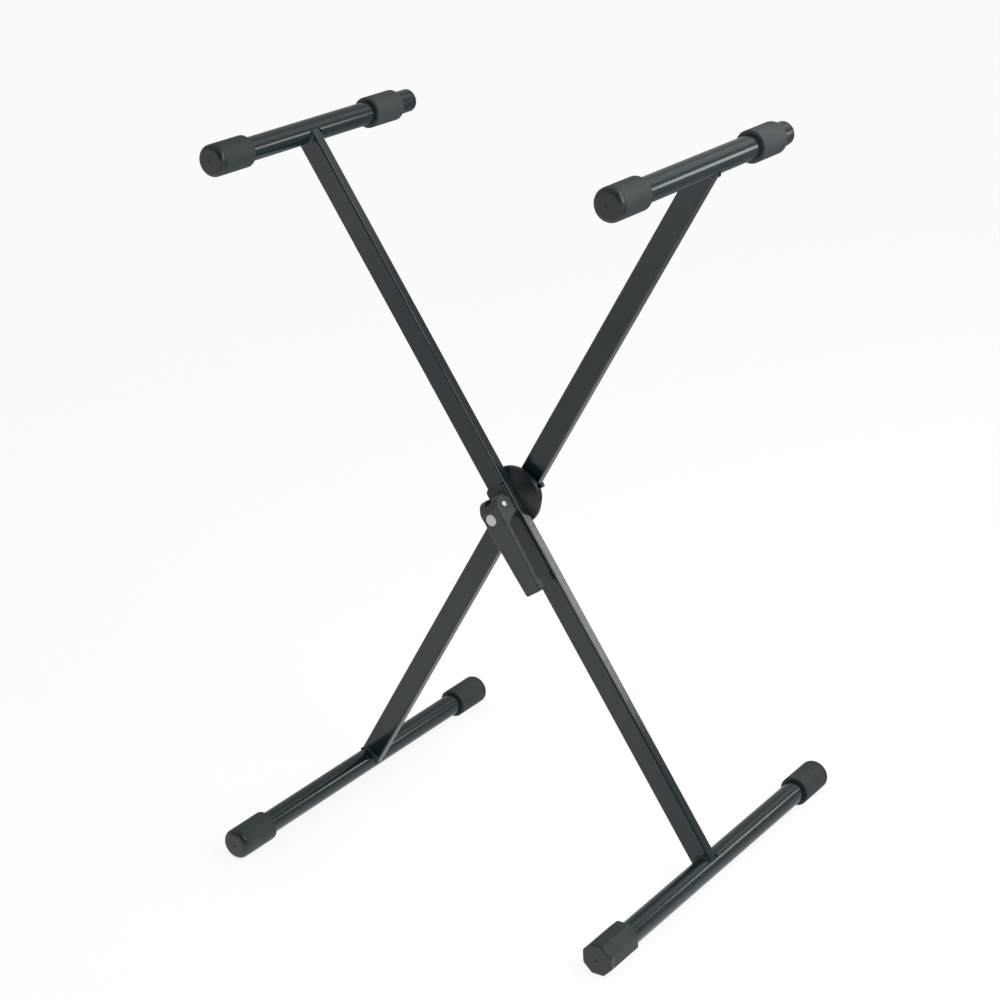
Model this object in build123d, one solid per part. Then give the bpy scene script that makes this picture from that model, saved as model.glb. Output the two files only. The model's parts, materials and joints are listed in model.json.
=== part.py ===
from build123d import *
import math
import os

# Single-X folding instrument stand with round arms, round floor bars and a cam clamp.
# Millimetres, +Z up, +Y away from the clamp side, origin on the floor at the middle of the footprint.

# Allowances shared by all pieces
cut_margin = 1.0
fit_gap = 0.02
edge_match = 0.05

# Crossed legs
half_leg = 525.0
half_span = 280.0
leg_width = 30.0
leg_depth = 15.0
leg_wall = 2.0
leg_corner = 2.2
leg_offset = 17.5
horn_setback = 4.0

# Round bars
bar_radius = 15.0
bar_bore = 13.0
bar_contact = 15.02
arm_front = -196.3
arm_rear = 190.0
floor_bar_end = 269.3

# End caps, sleeves and plugs
cap_radius = 20.0
cap_length = 62.0
cap_end_wall = 5.0
cap_bore = 15.05
arm_cap_face = -201.5
floor_cap_face = 274.5
seam_from_face = 7.2
seam_width = 1.0
seam_depth = 0.4
cap_edge = 6.5
cap_rim_chamfer = 0.8
gate_radius = 2.6
gate_depth = 0.9
sleeve_length = 55.0
left_sleeve_front = 105.5
right_sleeve_front = 112.0
sleeve_bore = 15.06
sleeve_chamfer = 1.0
plug_face = 196.0
plug_spigot_radius = 12.9
plug_spigot_length = 18.0
plug_edge = 3.4
plug_overlap = 0.5

# Eccentric eight-sided levelling cap
leveller_sides = 8
leveller_apothem = 20.0
leveller_offset = 2.0
leveller_edge = 2.2

# Pivot hub
hub_radius = 39.0
hub_rim_front = -4.3
hub_apex = -18.0
hub_split = 2.0
hub_recess_radius = 30.1
hub_recess_floor = -1.0
disc_radius = 30.0
disc_rear = 2.5
rear_hub_radius = 33.0
rear_hub_front = 2.8
rear_hub_back = 14.0
channel_play = 0.1
channel_depth = 30.0
hub_edge = 2.0
rear_hub_edge = 2.5
lug_reach = 42.5
lug_length = 12.0
lug_width = 6.0
lug_middle = 6.7
lug_angle = 57.5

# Draw bolt and what it clamps
bolt_radius = 5.0
bolt_end = 39.5
bolt_clearance = 5.3
bolt_chamfer = 1.0
bushing_front = 4.0
bushing_recess = 0.1
bushing_radius = 7.0
bushing_hole = 7.02
bushing_bore = 5.05
eye_radius = 8.0
eye_width = 11.0
eye_bore = 4.06
eye_overlap = 2.0
pin_radius = 4.0
pin_half_length = 16.4
pin_chamfer = 0.5
pin_y = -45.5
pin_z = -2.5
washer_front = 25.3
washer_rear = 27.0
washer_radius = 11.0
spring_rear = 29.0
spring_radius = 10.0
spring_lift = 0.7
nut_rear = 37.5
nut_across_flats = 17.0
nut_collar_height = 2.0
nut_collar_edge = 0.8
spacer_radius = 9.5

# Cam lever
cam_radius = 13.5
cam_throw = 0.7
cam_half_width = 16.0
lobe_radius = 14.0
lobe_z = -6.0
heel_y = -31.4
heel_z = -17.0
throat_y = -42.2
throat_z = -21.5
fork_half_gap = 6.0
fork_drop = 12.0
fork_front_wall = 4.5
handle_face = -60.5
handle_thickness = 6.5
handle_length = 119.0
handle_shoulder = -30.0
handle_tip_width = 26.0
tip_corner = 3.0
tip_pad_thickness = 4.5
tip_pad_height = 12.0
badge_radius = 7.5
badge_x = -3.5
badge_z = -13.5
badge_pocket = 1.0
badge_thickness = 1.2
badge_gap = 0.05

# Pressure saddle under the cam
saddle_thickness = 6.0
saddle_width = 29.0
saddle_height = 44.0
saddle_corner = 6.0
saddle_chamfer = 0.8

# Weld fillets
weld_leg = 3.2
weld_horn_radius = 1.2
weld_horn_half_length = 6.0
weld_side_relief = 0.5

lean = math.degrees(math.asin(half_span / half_leg))
pivot_z = cap_radius + math.sqrt(half_leg ** 2 - half_span ** 2)
arm_z = 2 * pivot_z - cap_radius
leg_front_face = -leg_offset - leg_depth / 2
leg_rear_face = leg_offset + leg_depth / 2
leg_front_of_gap = -leg_offset + leg_depth / 2
leg_rear_of_gap = leg_offset - leg_depth / 2


def rod_y(radius, y0, y1):
    """Solid cylinder along Y between two stations."""
    return Pos(0, (y0 + y1) / 2, 0) * Cylinder(radius, y1 - y0, rotation=(90, 0, 0))


def rod_x(radius, half_length, y=0, z=0):
    """Solid cylinder across a leg, along local X."""
    return Pos(0, y, z) * Cylinder(radius, 2 * half_length, rotation=(0, 90, 0))


def ring_y(outer, inner, y0, y1):
    """Hollow cylinder along Y."""
    return rod_y(outer, y0, y1) - rod_y(inner, y0 - cut_margin, y1 + cut_margin)


def rim_edges(shape, y, radius):
    """Circular edges of the given radius at one station along Y."""
    return [
        edge
        for edge in shape.edges().filter_by(GeomType.CIRCLE)
        if abs(edge.center().Y - y) < edge_match and abs(edge.radius - radius) < edge_match
    ]


def facing_front(shape):
    """Turn a piece built towards +Y so that it faces -Y."""
    return Rot(0, 0, 180) * shape


def on_front_leg(shape):
    """Place a piece drawn in the front leg's own frame."""
    return Pos(0, 0, pivot_z) * Rot(0, -lean, 0) * shape


def on_rear_leg(shape):
    """Place a piece drawn in the rear leg's own frame."""
    return Pos(0, 0, pivot_z) * Rot(0, lean, 0) * shape


def leg_prism(y_centre, width, depth, corner):
    """Rounded rectangular bar over the full leg length, in the leg's frame."""
    section = RectangleRounded(width, depth, corner)
    length = 2 * (half_leg - horn_setback)
    return Pos(0, y_centre, -length / 2) * extrude(section, length)


def leg_tube(y_centre, hole_radius):
    """Rectangular tube, notched at both ends to sit on the round bars, drilled for the pivot."""
    outer = leg_prism(y_centre, leg_width, leg_depth, leg_corner)
    inner = leg_prism(y_centre, leg_width - 2 * leg_wall, leg_depth - 2 * leg_wall, leg_corner / 2)
    tube = outer - inner
    for end in (-half_leg, half_leg):
        tube -= Pos(0, y_centre, end) * rod_y(bar_contact, -leg_depth, leg_depth)
    return tube - Pos(0, y_centre, 0) * rod_y(hole_radius, -leg_depth, leg_depth)


def horn_weld(side, y_centre, end):
    """Short bead where the narrow face of a leg runs out along the bar."""
    inward = -math.copysign(weld_horn_radius / 2, end)
    bead = rod_y(weld_horn_radius, -weld_horn_half_length, weld_horn_half_length)
    bead = Pos(side * bar_radius, y_centre, inward) * bead
    bead -= rod_y(bar_contact, -2 * leg_rear_face, 2 * leg_rear_face)
    bead = Pos(0, 0, end) * bead
    leg = leg_prism(y_centre, leg_width + 2 * fit_gap, leg_depth + 2 * fit_gap, leg_corner)
    return bead - leg


def leg_welds(y_centre):
    """All beads of one leg."""
    beads = []
    for end in (-half_leg, half_leg):
        beads.append(weld_fillet(y_centre - leg_depth / 2, -1, end))
        beads.append(weld_fillet(y_centre + leg_depth / 2, 1, end))
        beads.append(horn_weld(-1, y_centre, end))
        beads.append(horn_weld(1, y_centre, end))
    return beads


def weld_fillet(face_y, outward, end):
    """Fillet bead with its open side turned towards the leg at either end."""
    toe = face_y + outward * weld_leg
    outline = Polyline(
        (bar_contact, face_y),
        (bar_contact + weld_leg, face_y),
        (bar_contact, toe),
        close=True,
    )
    bead = revolve(make_face(outline), Axis.Y, 360)
    reach = 2 * bar_radius
    inward = -math.copysign(reach / 2 + weld_leg, end)
    keep = Pos(0, face_y, inward) * Box(reach - 2 * weld_side_relief, 4 * weld_leg, reach)
    return Pos(0, 0, end) * (bead & keep)


def end_cap(face_y):
    """Closed push-on cap facing +Y with a rounded end, a seam groove and a gate mark."""
    rim_y = face_y - cap_length
    cap = rod_y(cap_radius, rim_y, face_y)
    cap = fillet(rim_edges(cap, face_y, cap_radius), cap_edge)
    cap = chamfer(rim_edges(cap, rim_y, cap_radius), cap_rim_chamfer)
    cap -= rod_y(cap_bore, rim_y - cut_margin, face_y - cap_end_wall)
    seam_y = face_y - seam_from_face
    cap -= ring_y(cap_radius + cut_margin, cap_radius - seam_depth, seam_y - seam_width, seam_y)
    return cap - rod_y(gate_radius, face_y - gate_depth, face_y + cut_margin)


def grip_sleeve(front):
    """Open sleeve that slides along an arm."""
    rear = front + sleeve_length
    sleeve = ring_y(cap_radius, sleeve_bore, front, rear)
    for y in (front, rear):
        sleeve = chamfer(rim_edges(sleeve, y, cap_radius), sleeve_chamfer)
    return sleeve


def arm_plug():
    """Domed plug that closes the rear end of an arm."""
    head = rod_y(bar_radius, arm_rear, plug_face)
    head = fillet(rim_edges(head, plug_face, bar_radius), plug_edge)
    return head + rod_y(plug_spigot_radius, arm_rear - plug_spigot_length, arm_rear + plug_overlap)


def levelling_cap():
    """Eight-sided cap, off-centre on its bar, so turning it changes the height of the bar."""
    half = cap_length / 2
    flat_up = 180 / leveller_sides
    section = RegularPolygon(leveller_apothem, leveller_sides, major_radius=False, rotation=flat_up)
    block = Rot(90, 0, 0) * Pos(0, 0, -half) * extrude(section, cap_length)
    block = fillet(block.edges(), leveller_edge)
    face_y = -floor_cap_face
    block = Pos(-leveller_offset, face_y + half, 0) * block
    block -= rod_y(cap_bore, face_y + cap_end_wall, face_y + cap_length + cut_margin)
    gate = rod_y(gate_radius, face_y - cut_margin, face_y + gate_depth)
    return block - Pos(-leveller_offset, 0, 0) * gate


def front_hub():
    """Domed clutch half that cradles the front leg and holds the friction disc."""
    sag_radius = math.hypot(hub_radius, hub_rim_front - hub_apex)
    dome_radius = sag_radius ** 2 / (2 * (hub_rim_front - hub_apex))
    half_chord = hub_radius / 2
    mid_y = hub_apex + dome_radius - math.sqrt(dome_radius ** 2 - half_chord ** 2)
    dome = ThreePointArc((0, hub_apex), (half_chord, mid_y), (hub_radius, hub_rim_front))
    wall = Polyline(
        (hub_radius, hub_rim_front),
        (hub_radius, hub_split),
        (hub_recess_radius, hub_split),
        (hub_recess_radius, hub_recess_floor),
        (0, hub_recess_floor),
        (0, hub_apex),
    )
    hub = revolve(make_face([dome, wall]), Axis.Y, 360)
    hub = fillet(rim_edges(hub, hub_rim_front, hub_radius), hub_edge)
    channel = Box(leg_width + 2 * channel_play, channel_depth, 4 * hub_radius)
    hub -= Pos(0, leg_front_of_gap - channel_depth / 2, 0) * channel
    return hub - rod_y(bolt_clearance, -hub_radius, hub_radius)


def rear_hub():
    """Clutch half fixed to the rear leg, with a raised index lug on its rim."""
    hub = rod_y(rear_hub_radius, rear_hub_front, rear_hub_back)
    hub = fillet(rim_edges(hub, rear_hub_back, rear_hub_radius), rear_hub_edge)
    lug = Pos(lug_reach - lug_length / 2, lug_middle, 0) * Box(lug_length, lug_width, lug_width)
    lug = fillet(lug.edges().filter_by(Axis.Y), lug_width / 6)
    hub += Rot(0, -lug_angle, 0) * lug
    channel = Box(leg_width + 2 * channel_play, channel_depth, 4 * hub_radius)
    hub -= Pos(0, leg_rear_of_gap + channel_depth / 2, 0) * channel
    return hub - rod_y(bushing_hole, -hub_radius, hub_radius)


def draw_bolt():
    """Eye bolt that the cam pulls on."""
    shank = rod_y(bolt_radius, pin_y + eye_radius - eye_overlap, bolt_end)
    shank = chamfer(rim_edges(shank, bolt_end, bolt_radius), bolt_chamfer)
    eye = rod_x(eye_radius, eye_width / 2, pin_y, pin_z)
    return shank + eye - rod_x(eye_bore, eye_width, pin_y, pin_z)


def leg_spacer():
    """Tube inside the front leg that keeps the clamp from crushing it."""
    spacer_front = leg_front_face + leg_wall
    return ring_y(spacer_radius, bolt_clearance, spacer_front, leg_front_of_gap - leg_wall)


def pivot_bushing():
    """Plain bearing between the bolt and the rear leg."""
    return ring_y(bushing_radius, bushing_bore, bushing_front, leg_rear_face - bushing_recess)


def disc_spring():
    """Shallow conical spring washer under the nut."""
    outline = Polyline(
        (bolt_clearance, washer_rear + spring_lift),
        (spring_radius, washer_rear),
        (spring_radius, spring_rear - spring_lift),
        (bolt_clearance, spring_rear),
        close=True,
    )
    return revolve(make_face(outline), Axis.Y, 360)


def lock_nut():
    """Hexagon lock nut with a round collar."""
    section = RegularPolygon(nut_across_flats / 2, 6, major_radius=False)
    height = nut_rear - spring_rear
    block = Pos(0, spring_rear, 0) * Rot(-90, 0, 0) * extrude(section, height - nut_collar_height)
    collar_radius = nut_across_flats / 2 - nut_collar_edge
    collar = rod_y(collar_radius, nut_rear - nut_collar_height, nut_rear)
    collar = fillet(rim_edges(collar, nut_rear, collar_radius), nut_collar_edge)
    bore = rod_y(bolt_radius + fit_gap, spring_rear - cut_margin, nut_rear + cut_margin)
    return block + collar - bore


def lever_side_outline():
    """Handle seen from the side: flat face, heel behind the cam, thicker pad behind the tip."""
    back = handle_face + handle_thickness
    pad_top = -handle_length + tip_pad_height
    return make_face(
        Polyline(
            (handle_face, lobe_z),
            (handle_face, -handle_length),
            (back + tip_pad_thickness / 2, -handle_length),
            (back + tip_pad_thickness, -handle_length + tip_pad_thickness),
            (back + tip_pad_thickness, pad_top),
            (back, pad_top + tip_pad_thickness),
            (back, handle_shoulder),
            (throat_y, throat_z),
            (heel_y, heel_z),
            (heel_y, pin_z),
            (pin_y, pin_z),
            close=True,
        )
    )


def lever_front_outline():
    """Handle seen from the front: wide at the cam, tapering to the tip."""
    tip = handle_tip_width / 2
    return make_face(
        Polyline(
            (-cam_half_width, lobe_radius),
            (cam_half_width, lobe_radius),
            (cam_half_width, handle_shoulder),
            (tip, -handle_length),
            (-tip, -handle_length),
            (-cam_half_width, handle_shoulder),
            close=True,
        )
    )


def lever_body():
    """Handle, eccentric cam and the rounded lobe in front of it, before the openings are cut."""
    blade = extrude(Plane.YZ * lever_side_outline(), cam_half_width, both=True)
    blade &= extrude(Plane.XZ * lever_front_outline(), handle_length, both=True)
    tip_edges = [
        edge
        for edge in blade.edges().filter_by(Axis.Y)
        if edge.center().Z < -handle_length + cut_margin
    ]
    blade = fillet(tip_edges, tip_corner)
    cam = rod_x(cam_radius, cam_half_width, pin_y + cam_throw, pin_z)
    lobe = rod_x(lobe_radius, cam_half_width, handle_face + lobe_radius, lobe_z)
    return blade + cam + lobe


def cam_lever():
    """Forked cam with a long handle lying along the front leg when clamped."""
    lever = lever_body()
    slot_front = handle_face + fork_front_wall
    slot_reach = 2 * cam_radius
    slot = Box(2 * fork_half_gap, 2 * slot_reach, 2 * slot_reach)
    lever -= Pos(0, slot_front + slot_reach, slot_reach + pin_z - fork_drop) * slot
    lever -= rod_x(pin_radius + fit_gap, cam_half_width + cut_margin, pin_y, pin_z)
    pocket_floor = handle_face + badge_pocket
    pocket = rod_y(badge_radius + badge_gap, handle_face - cut_margin, pocket_floor)
    return lever - Pos(badge_x, 0, badge_z) * pocket


def lever_badge():
    """Plain round inlay with a softened edge."""
    front = handle_face + badge_pocket - badge_thickness
    badge = rod_y(badge_radius, front, handle_face + badge_pocket)
    badge = fillet(rim_edges(badge, front, badge_radius), badge_thickness / 3)
    return Pos(badge_x, 0, badge_z) * badge


def cam_pin():
    """Cross pin through the fork."""
    pin = rod_x(pin_radius, pin_half_length, pin_y, pin_z)
    return chamfer(pin.edges().filter_by(GeomType.CIRCLE), pin_chamfer)


def pressure_saddle():
    """Pad between the cam and the front leg."""
    middle = leg_front_face - saddle_thickness / 2
    pad = Pos(0, middle, 0) * Box(saddle_width, saddle_thickness, saddle_height)
    pad = fillet(pad.edges().filter_by(Axis.Y), saddle_corner)
    pad = chamfer(pad.faces().sort_by(Axis.Y)[0].edges(), saddle_chamfer)
    return pad - rod_y(bolt_clearance, handle_face, 0)


def bar_at(shape, x, z):
    """Place a piece drawn on the Y axis on one of the four bars."""
    return Pos(x, 0, z) * shape


def arm_tube():
    return ring_y(bar_radius, bar_bore, arm_front, arm_rear)


def floor_tube():
    return ring_y(bar_radius, bar_bore, -floor_bar_end, floor_bar_end)


def front_cap(face):
    return facing_front(end_cap(face))


left = -half_span
right = half_span
floor_z = cap_radius

nodes = {
    "front_leg": on_front_leg(leg_tube(-leg_offset, bolt_clearance)),
    "front_leg_welds": on_front_leg(Compound(leg_welds(-leg_offset))),
    "rear_leg": on_rear_leg(leg_tube(leg_offset, bushing_hole)),
    "rear_leg_welds": on_rear_leg(Compound(leg_welds(leg_offset))),
    "arm_tube_left": bar_at(arm_tube(), left, arm_z),
    "arm_tube_right": bar_at(arm_tube(), right, arm_z),
    "floor_tube_left": bar_at(floor_tube(), left, floor_z),
    "floor_tube_right": bar_at(floor_tube(), right, floor_z),
    "arm_cap_left": bar_at(front_cap(-arm_cap_face), left, arm_z),
    "arm_cap_right": bar_at(front_cap(-arm_cap_face), right, arm_z),
    "arm_sleeve_left": bar_at(grip_sleeve(left_sleeve_front), left, arm_z),
    "arm_sleeve_right": bar_at(grip_sleeve(right_sleeve_front), right, arm_z),
    "arm_plug_left": bar_at(arm_plug(), left, arm_z),
    "arm_plug_right": bar_at(arm_plug(), right, arm_z),
    "floor_cap_left_front": bar_at(front_cap(floor_cap_face), left, floor_z),
    "floor_cap_left_rear": bar_at(end_cap(floor_cap_face), left, floor_z),
    "floor_cap_right_rear": bar_at(end_cap(floor_cap_face), right, floor_z),
    "levelling_cap": bar_at(levelling_cap(), right, floor_z),
    "hub_front": on_front_leg(front_hub()),
    "friction_disc": on_front_leg(ring_y(disc_radius, bolt_clearance, hub_recess_floor, disc_rear)),
    "hub_rear": on_rear_leg(rear_hub()),
    "pivot_bushing": on_rear_leg(pivot_bushing()),
    "leg_spacer": on_front_leg(leg_spacer()),
    "draw_bolt": on_front_leg(draw_bolt()),
    "flat_washer": on_front_leg(ring_y(washer_radius, bolt_clearance, washer_front, washer_rear)),
    "disc_spring": on_front_leg(disc_spring()),
    "lock_nut": on_front_leg(lock_nut()),
    "pressure_saddle": on_front_leg(pressure_saddle()),
    "cam_pin": on_front_leg(cam_pin()),
    "cam_lever": on_front_leg(cam_lever()),
    "lever_badge": on_front_leg(lever_badge()),
}

os.makedirs("parts", exist_ok=True)
for name, shape in nodes.items():
    export_step(shape, f"parts/{name}.step")
    print(name, len(shape.solids()), [round(v) for v in shape.bounding_box().size])
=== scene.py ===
import json
import math

import bmesh
import bpy
from mathutils import Matrix, Vector


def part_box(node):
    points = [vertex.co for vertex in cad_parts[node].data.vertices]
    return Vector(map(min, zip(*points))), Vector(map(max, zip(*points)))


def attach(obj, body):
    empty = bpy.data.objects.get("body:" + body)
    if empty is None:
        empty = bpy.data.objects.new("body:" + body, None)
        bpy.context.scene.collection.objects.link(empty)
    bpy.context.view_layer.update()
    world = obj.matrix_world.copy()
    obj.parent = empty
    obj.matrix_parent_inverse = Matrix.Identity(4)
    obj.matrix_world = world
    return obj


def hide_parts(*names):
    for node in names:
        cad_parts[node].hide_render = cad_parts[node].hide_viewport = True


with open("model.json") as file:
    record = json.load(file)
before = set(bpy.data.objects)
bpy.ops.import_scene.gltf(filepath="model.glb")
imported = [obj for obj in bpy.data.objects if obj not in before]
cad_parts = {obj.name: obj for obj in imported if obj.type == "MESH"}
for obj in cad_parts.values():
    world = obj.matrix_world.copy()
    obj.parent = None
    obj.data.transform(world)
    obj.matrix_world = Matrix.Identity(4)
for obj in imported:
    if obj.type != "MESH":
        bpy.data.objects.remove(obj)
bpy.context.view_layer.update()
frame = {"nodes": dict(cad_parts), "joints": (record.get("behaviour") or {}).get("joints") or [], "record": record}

# Pieces are drawn in millimetres in the frame of their own bar or leg, then placed in metres.
MM = 0.001
TURN = 2 * math.pi
ROUND_STEPS = 96
HUB_STEPS = 160
NUT_STEPS = 192

# Camera
camera_azimuth = 35.58
camera_elevation = 20.51
camera_roll = -2.92
camera_distance = 2.987
camera_lens = 85.33
aim_from_pivot = (-0.0146, -0.0128, -0.0051)

# Cutters reach well past what they cut
cut_reach = 40.0
cut_length = 60.0
cut_margin = 1.0
fit_gap = 0.02

# Bars, caps and sleeves
bar_wall = 2.0
bar_lip = 0.3
cap_bore = 15.05
cap_end_wall = 5.0
cap_rim_radius = 0.8
cap_edge = 6.5
seam_from_face = 7.2
seam_width = 1.0
seam_depth = 0.4
gate_radius = 2.6
gate_depth = 0.9
sleeve_bore = 15.06
sleeve_edge = 1.0
bore_edge = 0.5
plug_edge = 3.4
plug_spigot_radius = 12.9
plug_head = 6.0
leveller_sides = 8
leveller_offset = 2.0
leveller_apothem = 20.0
leveller_corner = 2.2
leveller_long_corner = 3.6

# Legs and welds
leg_width = 30.0
leg_depth = 15.0
leg_wall = 2.0
leg_corner = 2.2
leg_offset = 17.5
horn_setback = 4.0
bar_contact = 15.02
flat_from_end = 22.0
flat_from_pivot = 14.0
weld_size = 3.0
weld_root = 0.6
weld_half_sweep = 74
weld_horn_radius = 1.1
weld_horn_half_length = 6.0
weld_horn_inward = 1.2
weld_horn_sink = 0.7
weld_horn_height = 1.25
weld_pitch = 1.5
weld_ripple = 0.07

# Pivot
bolt_clearance = 5.3
bushing_hole = 7.02
hub_radius = 39.0
hub_apex = -18.0
hub_rim = -4.3
hub_split = 2.0
hub_recess_radius = 30.1
hub_recess_floor = -1.0
hub_channel_floor = -10.0
hub_soft_edge = 0.7
rear_hub_radius = 33.0
rear_hub_front = 2.8
rear_hub_back = 14.0
rear_channel_floor = 10.0
rear_soft_edge = 0.6
channel_width = 30.2
lug_angle = 57.5
lug_reach = 42.5
lug_length = 12.0
lug_width = 6.0
lug_middle = 6.7

# Draw bolt stack
bolt_radius = 5.0
bolt_end = 39.5
bolt_chamfer = 1.0
thread_pitch = 1.5
thread_depth = 0.55
thread_start = 24.0
eye_radius = 8.0
eye_width = 11.0
eye_bore = 4.06
eye_overlap = 2.0
pin_radius = 4.0
pin_half_length = 16.4
pin_y = -45.5
pin_z = -2.5
washer_front = 25.3
washer_rear = 27.0
washer_radius = 11.0
spring_rear = 29.0
spring_radius = 10.0
spring_lift = 0.7
nut_flats = 17.0
nut_rear = 37.5
nut_collar_height = 2.0
nut_collar_step = 0.8
nut_chamfer_angle = 30
nut_corner_trim = 1.125
nut_cone_start = 1.02
saddle_front = -31.0
saddle_rear = -25.0
saddle_width = 29.0
saddle_height = 44.0
saddle_corner = 6.0
saddle_soft_edge = 0.5

# Cam lever
cam_radius = 13.5
cam_throw = 0.7
cam_half_width = 16.0
lobe_radius = 14.0
lobe_z = -6.0
heel_y = -31.4
heel_z = -17.0
throat_y = -42.2
throat_z = -21.5
fork_half_gap = 6.0
fork_drop = 12.0
fork_front_wall = 4.5
fork_reach = 30.0
handle_face = -60.5
handle_thickness = 6.5
handle_length = 119.0
handle_shoulder = -30.0
handle_tip_width = 26.0
tip_corner = 3.0
tip_pad_thickness = 4.5
tip_pad_height = 12.0
badge_radius = 7.5
badge_x = -3.5
badge_z = -13.5
badge_pocket = 1.0
badge_thickness = 1.2
badge_gap = 0.05
badge_crown = 0.25
join_grain = 0.5
skin_grain = 0.45

# Room
room_level = 0.46
backdrop_level = 1.05
floor_radius = 30.0
floor_albedo = 0.2
floor_glow = 0.87


# ---------------------------------------------------------------- camera

def aim_camera():
    """Camera at the recorded viewing angle, turned slightly about its own axis."""
    azimuth = math.radians(camera_azimuth)
    elevation = math.radians(camera_elevation)
    roll = math.radians(camera_roll)
    pivot = Vector(frame["joints"][0]["pos_m"])
    target = pivot + Vector(aim_from_pivot)
    forward = Vector((
        -math.sin(azimuth) * math.cos(elevation),
        math.cos(azimuth) * math.cos(elevation),
        -math.sin(elevation),
    ))
    level = Vector((math.cos(azimuth), math.sin(azimuth), 0))
    up = level.cross(forward)
    across = level * math.cos(roll) + up * math.sin(roll)
    upright = -level * math.sin(roll) + up * math.cos(roll)
    data = bpy.data.cameras.new("camera")
    data.lens = camera_lens
    data.sensor_width = 36.0
    data.clip_end = 100
    camera = bpy.data.objects.new("camera", data)
    turn = Matrix((across, upright, -forward)).transposed().to_4x4()
    camera.matrix_world = Matrix.Translation(target - forward * camera_distance) @ turn
    bpy.context.scene.collection.objects.link(camera)
    bpy.context.scene.camera = camera


# ---------------------------------------------------------------- outlines

def fillet_corners(corners, steps=6):
    """Points (r, y) of an outline whose corners (r, y, radius) are rounded."""
    points = []
    for index, (r, y, radius) in enumerate(corners):
        here = Vector((r, y))
        before = Vector(corners[index - 1][:2]) - here
        after = Vector(corners[(index + 1) % len(corners)][:2]) - here
        if radius == 0 or before.length == 0 or after.length == 0:
            points.append(here)
            continue
        before.normalize()
        after.normalize()
        half = before.angle(after) / 2
        reach = radius / math.tan(half)
        centre = here + (before + after).normalized() * (radius / math.sin(half))
        start = here + before * reach - centre
        end = here + after * reach - centre
        sweep = start.angle_signed(end)
        for step in range(steps + 1):
            turned = Matrix.Rotation(-sweep * step / steps, 2) @ start
            points.append(centre + turned)
    return points


def hold(points, gap=0.25, closed=True):
    """Adds a point close to each end of every long straight run, so shading stays flat there."""
    held = []
    count = len(points) if closed else len(points) - 1
    for index in range(count):
        start = points[index]
        run = points[(index + 1) % len(points)] - start
        held.append(start)
        if run.length > 4 * gap:
            held.append(start + run.normalized() * gap)
            held.append(start + run - run.normalized() * gap)
    if not closed:
        held.append(points[-1])
    return held


# ---------------------------------------------------------------- meshes

def skin(loops, closed=False):
    """Mesh through a row of loops with equal point counts. A loop of one point closes to a tip."""
    mesh = bmesh.new()
    rings = [[mesh.verts.new(point) for point in loop] for loop in loops]
    pairs = list(zip(rings, rings[1:]))
    if closed:
        pairs.append((rings[-1], rings[0]))
    for first, second in pairs:
        count = max(len(first), len(second))
        for index in range(count):
            after = (index + 1) % count
            if len(first) == 1:
                mesh.faces.new((first[0], second[index], second[after]))
            elif len(second) == 1:
                mesh.faces.new((first[index], second[0], first[after]))
            else:
                mesh.faces.new((first[index], second[index], second[after], first[after]))
    bmesh.ops.recalc_face_normals(mesh, faces=mesh.faces)
    return mesh


def ring_loop(radius, y, steps=ROUND_STEPS, x=0.0):
    """Circle about an axis along Y; with no radius it is a single point."""
    if radius < 1e-6:
        return [Vector((x, y, 0))]
    return [
        Vector((x + radius * math.cos(TURN * k / steps), y, radius * math.sin(TURN * k / steps)))
        for k in range(steps)
    ]


def lathe(outline, closed=True, steps=ROUND_STEPS):
    """Turns an outline of (r, y) points about the Y axis."""
    return skin([ring_loop(r, y, steps) for r, y in outline], closed)


def shaped_loop(radius_at, y, steps=ROUND_STEPS):
    """Loop about the Y axis whose radius depends on the angle."""
    loop = []
    for k in range(steps):
        turn = TURN * k / steps
        radius = radius_at(turn)
        loop.append(Vector((radius * math.cos(turn), y, radius * math.sin(turn))))
    return loop


def tipped_skin(loops):
    """Mesh through a row of loops, closed by a tip at the middle of either end loop."""
    first = sum(loops[0], Vector()) / len(loops[0])
    last = sum(loops[-1], Vector()) / len(loops[-1])
    return skin([[first]] + loops + [[last]])


def append(target, mesh):
    """Moves one mesh into another."""
    data = bpy.data.meshes.new("part")
    mesh.to_mesh(data)
    mesh.free()
    target.from_mesh(data)
    bpy.data.meshes.remove(data)


def as_object(mesh, name):
    """Scene object from a working mesh."""
    data = bpy.data.meshes.new(name)
    mesh.to_mesh(data)
    mesh.free()
    made = bpy.data.objects.new(name, data)
    bpy.context.scene.collection.objects.link(made)
    return made


def bake(made):
    """Replaces an object's mesh by what its modifiers make of it."""
    graph = bpy.context.evaluated_depsgraph_get()
    result = bpy.data.meshes.new_from_object(made.evaluated_get(graph))
    made.modifiers.clear()
    made.data = result
    return made


def combine(base, operation, *tools):
    """Boolean with temporary tools, which are then thrown away."""
    for tool in tools:
        change = base.modifiers.new("combine", "BOOLEAN")
        change.operation = operation
        change.object = tool
        change.solver = "EXACT"
    bpy.context.view_layer.update()
    bake(base)
    for tool in tools:
        bpy.data.objects.remove(tool)
    return base


def block(x0, x1, y0, y1, z0, z1):
    """Plain cutter box."""
    mesh = bmesh.new()
    bmesh.ops.create_cube(mesh, size=1.0)
    centre = Vector(((x0 + x1) / 2, (y0 + y1) / 2, (z0 + z1) / 2))
    size = (x1 - x0, y1 - y0, z1 - z0)
    for vertex in mesh.verts:
        vertex.co = centre + Vector(a * b for a, b in zip(vertex.co, size))
    return as_object(mesh, "cutter")


def rod(radius, y0, y1):
    """Plain cutter cylinder along Y."""
    return as_object(lathe([(0, y0), (radius, y0), (radius, y1), (0, y1)], False), "cutter")


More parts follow.
